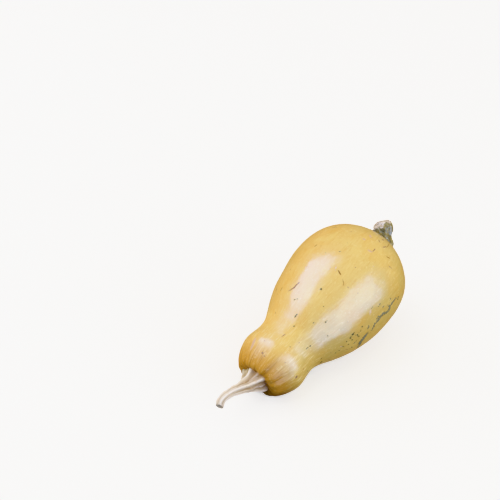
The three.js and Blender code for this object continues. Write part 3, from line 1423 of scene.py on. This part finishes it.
@dataclass
class Knob(Shoot):
    """The knob on the blossom end: a ribbed green neck under a lumpy corky head.

    Attributes:
        seat: where it leaves the fruit, in the fruit's axes.
        flare, waist, head: its plain radius at the fruit, at its neck, and at its head.
        root: how much of it is inside the fruit.
        lumps: the coarse unevenness.
        warts: the fine unevenness.
        ragged: how the cap's edge strays.
    """

    seat: tuple[float, float, float] = (193 * MM, 2.1 * MM, 3 * MM)
    flare: float = 15 * MM
    waist: float = 8.4 * MM
    head: float = 9.4 * MM
    root: float = 5 * MM
    lumps: Ripple = Ripple(7 * MM, 0.32 * MM, 51)
    warts: Ripple = Ripple(2.4 * MM, 0.13 * MM, 52)
    ragged: Ripple = Ripple(5 * MM, 1.6 * MM, 53)

    def finish(self) -> Finish:
        """Green wood."""
        return GreenWood()

    def path(self) -> np.ndarray:
        """From inside the fruit: out, and then upwards."""
        free = [(-self.root / MM, 0, 0), (0, 0, 0), (5, 1.1, 1.4), (9.3, 3.6, 5), (12.9, 7.6, 10)]
        return self.lie.place(np.array(self.seat) + np.array(free) * MM)

    @cached_property
    def outline(self) -> np.ndarray:
        """Distance along the middle line and plain radius, from the root to the top.

        Returns:
            Rows of a distance along the middle line and a radius.
        """
        controls = [
            (0, 0),
            (0, 0.8 * self.flare),
            (self.root - 1 * MM, self.flare),
            (self.root + 2 * MM, 0.78 * self.flare),
            (self.root + 5 * MM, self.waist),
            (self.root + 8 * MM, 0.97 * self.head),
            (self.reach - 4 * MM, 1.08 * self.head),
            (self.reach, 0.7 * self.head),
            (self.reach, 0.35 * self.head),
            (self.reach, 0),
        ]
        return profile(controls, self.rows)

    def surface(self) -> tuple[np.ndarray, dict[str, np.ndarray]]:
        """The finished grid in the frame, and what the finish reads from it.

        The ribs are a cosine of the angle, with a smaller one of twice as many waves, and both
        fade towards the top. The cap comes lower on one side.

        Returns:
            The grid in the frame, and a grid of numbers or vectors for each stored name.
        """
        height, plain = (axis[:, None] for axis in self.outline.T)
        wave = np.cos(self.ribs * self.turns)
        fade = smoothstep(0.95 * self.reach, 0.5 * self.reach, height)
        ribs = 0.055 * wave + 0.02 * np.cos(2 * self.ribs * self.turns + 1)
        radius = plain * (1 + ribs * fade)
        flat = self.carried(height, radius)
        uneven = (self.lumps.at(flat) + self.warts.at(flat)) * smoothstep(0, 5 * MM, plain)
        tilted = height + self.ragged.at(flat) + 3.2 * MM * np.cos(self.turns - 0.5)
        values = {
            "fibre": rolled(self.head, self.turns, height),
            # Where the finish paints shade between the ribs.
            "groove_shade": smoothstep(0.2, -1, wave) * fade,
            "cap": smoothstep(0.74 * self.reach, 0.86 * self.reach, tilted),
        }
        return self.carried(height, radius + uneven), values


# ---- The studio ----


@dataclass(frozen=True)
class Softbox:
    """A rectangular soft light.

    Attributes:
        name: its name.
        centre: where it hangs, in metres from the squash.
        size: its width and height in metres.
        power: in watts.
        aim: the point that it looks at.
        gloss: whether it only shows in reflections. Otherwise it only lights matt surfaces.
    """

    name: str
    centre: tuple[float, float, float]
    size: tuple[float, float]
    power: float
    aim: tuple[float, float, float]
    gloss: bool

    def hang(self) -> None:
        """Makes the light: a cool daylight where it shows in reflections, and white elsewhere."""
        lamp = bpy.data.lights.new(self.name, "AREA")
        lamp.shape = "RECTANGLE"
        lamp.size, lamp.size_y = self.size
        lamp.energy = self.power
        lamp.color = linear("#8fb4ff" if self.gloss else "#ffffff")[:3]
        holder = bpy.data.objects.new(self.name, lamp)
        bpy.context.scene.collection.objects.link(holder)
        holder.location = self.centre
        way = Vector(self.aim) - Vector(self.centre)
        holder.rotation_euler = way.to_track_quat("-Z", "Y").to_euler()
        holder.visible_camera = False
        holder.visible_glossy = self.gloss
        holder.visible_diffuse = not self.gloss


LIGHTS = (
    Softbox("side_gloss", (-0.33, -1.3, 0.53), (1.94, 1.46), 66, (-0.33, 0, 0.53), True),
    Softbox("low_gloss", (-0.5, -1.3, -0.4), (1.0, 0.4), 9.3, (-0.5, 0, -0.4), True),
    Softbox("top_gloss", (-0.54, 0.975, 1.2), (1.5, 1.55), 72, (-0.54, 0.975, 0), True),
    Softbox("top_fill", (-0.3, 0.6, 1.7), (1.6, 1.6), 9, (0, 0, 0), False),
    Softbox("left_fill", (-1.0, 1.3, 0.5), (1.4, 1.0), 12, (0, 0, 0.05), False),
    Softbox("side_fill", (0.4, -1.5, 0.5), (1.8, 0.9), 14, (0, 0, 0), False),
)


@dataclass
class Studio:
    """A pale floor, soft lights and the camera.

    Attributes:
        centre: the middle of the squash.
        floor_size: the floor's side.
        world_strength: the light from all round.
        under, horizon: its share from below, and over which rise it grows from that to full.
        gloss_strength: the light that a gloss sees all round.
        lens: the focal length in millimetres, for a sensor 36 mm wide.
        elevation, heading: the camera's angle above the ground, and the way it looks from +X.
        distance: from the camera to the point that it looks at.
        aside, above: how far that point is right of the squash's middle and above it in the view.
    """

    centre: Vector
    floor_size: float = 40.0
    world_strength: float = 0.85
    under: float = 0.08
    horizon: Span = (-0.22, 0.04)
    gloss_strength: float = 0.75
    lens: float = 90.0
    elevation: float = math.radians(40)
    heading: float = math.radians(41.98)
    distance: float = 1.1767
    aside: float = -0.0563
    above: float = 0.0579

    def lay_floor(self) -> None:
        """Makes the floor, which the camera sees and which takes no part in the lighting."""
        half = self.floor_size / 2
        corners = [(-half, -half, 0), (half, -half, 0), (half, half, 0), (-half, half, 0)]
        mesh = bpy.data.meshes.new("floor")
        mesh.from_pydata(corners, [], [(0, 1, 2, 3)])
        mesh.materials.append(WhiteBoard().made())
        floor = bpy.data.objects.new("floor", mesh)
        bpy.context.scene.collection.objects.link(floor)
        floor.visible_glossy = False
        floor.visible_diffuse = False
        floor.visible_shadow = False
        floor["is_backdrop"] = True

    def light(self) -> None:
        """Makes the light from all round and hangs the softboxes.

        The light from all round is even above the floor and dim below it. A gloss sees a warm,
        dimmer room instead, which keeps the rind's colour at its edges.
        """
        world = bpy.data.worlds.new("studio")
        world.use_nodes = True
        tree = world.node_tree
        tree.nodes.clear()
        way = put(tree, "TexCoord").outputs["Generated"]
        rise = put(tree, "SeparateXYZ", {0: way}).outputs[2]
        low, high = self.horizon
        levels = {"Value": rise, "From Min": low, "From Max": high, "To Min": self.under}
        share = put(tree, "MapRange", levels, interpolation_type="SMOOTHSTEP").outputs[0]
        strength = folded(tree, "MULTIPLY", share, self.world_strength)
        even = put(tree, "Background", {"Color": linear("#fffdfa"), "Strength": strength})
        warm = put(tree, "Background", {"Color": linear("#dbb878"), "Strength": self.gloss_strength})
        glossy = put(tree, "LightPath").outputs["Is Glossy Ray"]
        sky = put(tree, "MixShader", {0: glossy, 1: even.outputs[0], 2: warm.outputs[0]})
        put(tree, "OutputWorld", {"Surface": sky.outputs[0]})
        bpy.context.scene.world = world
        for softbox in LIGHTS:
            softbox.hang()

    def stand_camera(self) -> None:
        """Stands the camera above the stem end, looking down along the squash."""
        c, s = math.cos(self.elevation), math.sin(self.elevation)
        forward = Vector((math.cos(self.heading) * c, math.sin(self.heading) * c, -s))
        right = forward.cross(Vector((0, 0, 1))).normalized()
        up = right.cross(forward)
        aim = self.centre + self.aside * right + self.above * up
        lens = bpy.data.cameras.new("camera")
        lens.lens = self.lens
        lens.sensor_width = 36.0
        lens.clip_end = 50.0
        camera = bpy.data.objects.new("camera", lens)
        bpy.context.scene.collection.objects.link(camera)
        camera.location = aim - self.distance * forward
        camera.rotation_euler = forward.to_track_quat("-Z", "Y").to_euler()
        bpy.context.scene.camera = camera

    def build(self) -> None:
        """Sets the whole studio up, with a film that holds colour up to the highlights."""
        self.stand_camera()
        self.light()
        self.lay_floor()
        bpy.context.scene.view_settings.view_transform = "Khronos PBR Neutral"


def main() -> None:
    """Builds the squash piece by piece, and the studio round it."""
    logging.basicConfig(level=logging.INFO, format="%(name)s: %(message)s")
    cad_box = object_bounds()
    Studio(centre=(cad_box[0] + cad_box[1]) / 2).build()
    fruit = Fruit("squash_body", "squash_fruit", "rind", rows=214, columns=440)
    fruit.build()
    Stem("stem", "dry_stem", "dry_stem", rows=170, columns=200, ribs=5, lie=fruit.lie).build()
    Knob("blossom_knob", "woody_knob", "knob", rows=110, columns=170, ribs=8, lie=fruit.lie).build()


if __name__ == "__main__":
    main()
